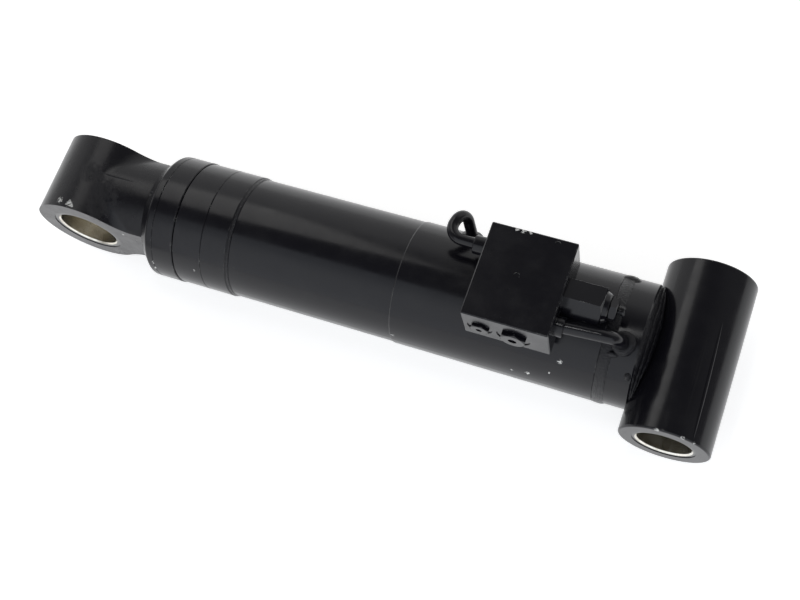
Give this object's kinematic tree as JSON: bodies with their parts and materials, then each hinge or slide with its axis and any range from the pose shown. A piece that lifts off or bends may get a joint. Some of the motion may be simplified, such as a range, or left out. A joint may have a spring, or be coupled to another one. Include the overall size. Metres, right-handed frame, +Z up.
{
  "type": "telescopic hydraulic cylinder",
  "caption": "Double-acting telescopic hydraulic cylinder with a cross-tube base, a bushed rod eye and a welded-on valve block with steel pipes.",
  "frame": {"origin": "centre of the base pin bore, at the middle of the cross tube", "axes": "+X along the cylinder from the base pin to the rod eye, +Y along both pins on the side of the valve block's ports, +Z up through the valve block"},
  "size_m": [0.5625, 0.133, 0.1322],
  "materials": {
    "black_paint": "gloss",
    "painted_weld": "gloss",
    "bush_steel": "satin",
    "machined_steel": "satin",
    "hard_chrome": "polished",
    "seal_rubber": "matte",
    "seal_polyurethane": "satin",
    "wear_ring_plastic": "matte"
  },
  "bodies": {
    "barrel": {"cross_tube": "black_paint", "base_bush_left": "bush_steel", "base_bush_right": "bush_steel", "base_cap": "black_paint", "cap_o_ring": "seal_rubber", "saddle_weld": "painted_weld", "base_weld": "painted_weld", "outer_barrel": "black_paint", "inner_barrel": "machined_steel", "barrel_head": "black_paint", "barrel_wear_ring": "wear_ring_plastic", "barrel_gland_nut": "black_paint", "gland_o_ring": "seal_rubber", "barrel_seal": "seal_polyurethane", "barrel_wiper": "seal_rubber", "valve_block": "black_paint", "block_welds": "painted_weld", "drilling_plugs": "black_paint", "main_port_plug": "black_paint", "pilot_port_plug": "black_paint", "port_o_rings": "seal_rubber", "cartridge_body": "black_paint", "cartridge_o_rings": "seal_rubber", "cartridge_lock_nut": "black_paint", "base_side_pipe": "black_paint", "base_pipe_collar": "black_paint", "base_pipe_boss": "painted_weld", "rod_side_pipe": "black_paint", "rod_pipe_collar": "black_paint", "rod_pipe_boss": "painted_weld"},
    "adjuster_ring": {"adjuster_o_ring": "seal_rubber"},
    "adjuster": {"adjuster_screw": "black_paint"},
    "stage": {"stage_tube": "hard_chrome", "stage_piston": "machined_steel", "stage_piston_ring": "wear_ring_plastic", "stage_piston_seal": "seal_polyurethane", "stage_head": "black_paint", "stage_gland_nut": "black_paint", "stage_wear_ring": "wear_ring_plastic", "stage_seal": "seal_polyurethane", "stage_wiper": "seal_rubber"},
    "rod_rings": {"rod_piston_ring": "wear_ring_plastic", "rod_piston_seal": "seal_polyurethane"},
    "rod": {"piston_rod": "hard_chrome", "rod_piston": "machined_steel", "rod_piston_nut": "machined_steel", "rod_eye": "black_paint", "rod_eye_bush": "bush_steel"}
  },
  "joints": [
    {"name": "stage_slide", "type": "slide", "parent": "barrel", "child": "stage", "axis": [1, 0, 0], "range_m": [0, 0.2235]},
    {"name": "rod_slide", "type": "slide", "parent": "stage", "child": "rod_rings", "axis": [1, 0, 0], "range_m": [0, 0.2325]},
    {"name": "rod_swivel", "type": "hinge", "parent": "rod_rings", "child": "rod", "pos_m": [0.12, 0, 0], "axis": [1, 0, 0], "continuous": true},
    {"name": "adjuster_travel", "type": "slide", "parent": "barrel", "child": "adjuster_ring", "axis": [1, 0, 0], "range_m": [-0.0025, 0.0025]},
    {"name": "adjuster_turn", "type": "hinge", "parent": "adjuster_ring", "child": "adjuster", "pos_m": [0.06, 0.002, 0.0645], "axis": [1, 0, 0], "range_deg": [-725, 725]}
  ],
  "couplings": [
    {"joint": "adjuster_turn", "follows": "adjuster_travel", "rad_per_m": 5026.5}
  ]
}
